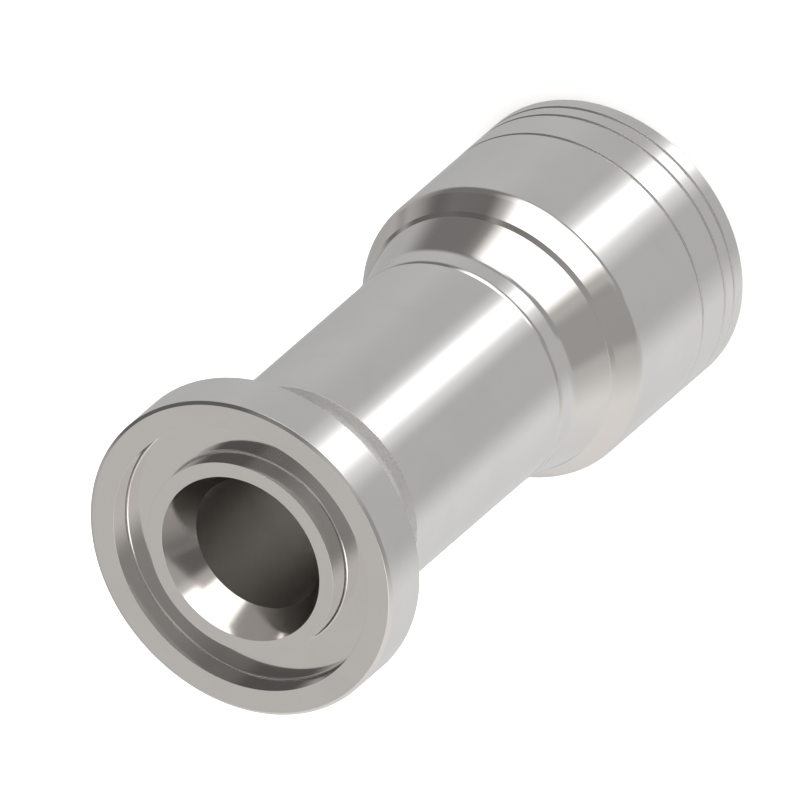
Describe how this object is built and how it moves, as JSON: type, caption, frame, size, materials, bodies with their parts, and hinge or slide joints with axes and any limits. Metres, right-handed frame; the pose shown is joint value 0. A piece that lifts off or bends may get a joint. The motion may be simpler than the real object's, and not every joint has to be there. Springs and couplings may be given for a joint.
{
  "type": "straight flange-head crimp hose fitting",
  "caption": "Straight steel crimp fitting that ends a hose in a flange head with a face-seal groove; barbed tail inside a swaged shell.",
  "frame": {"origin": "centre of the shell's open end, which the part stands on", "axes": "+Z along the bore axis towards the flange face; +X and +Y are any two directions across it, because the part is a body of revolution"},
  "size_m": [0.0382, 0.0382, 0.0792],
  "materials": {
    "nipple_steel": "fine turned and polished, bright",
    "shell_steel": "fine turned and polished, bright"
  },
  "bodies": {
    "root": {"nipple": "nipple_steel", "shell": "shell_steel"}
  },
  "joints": []
}
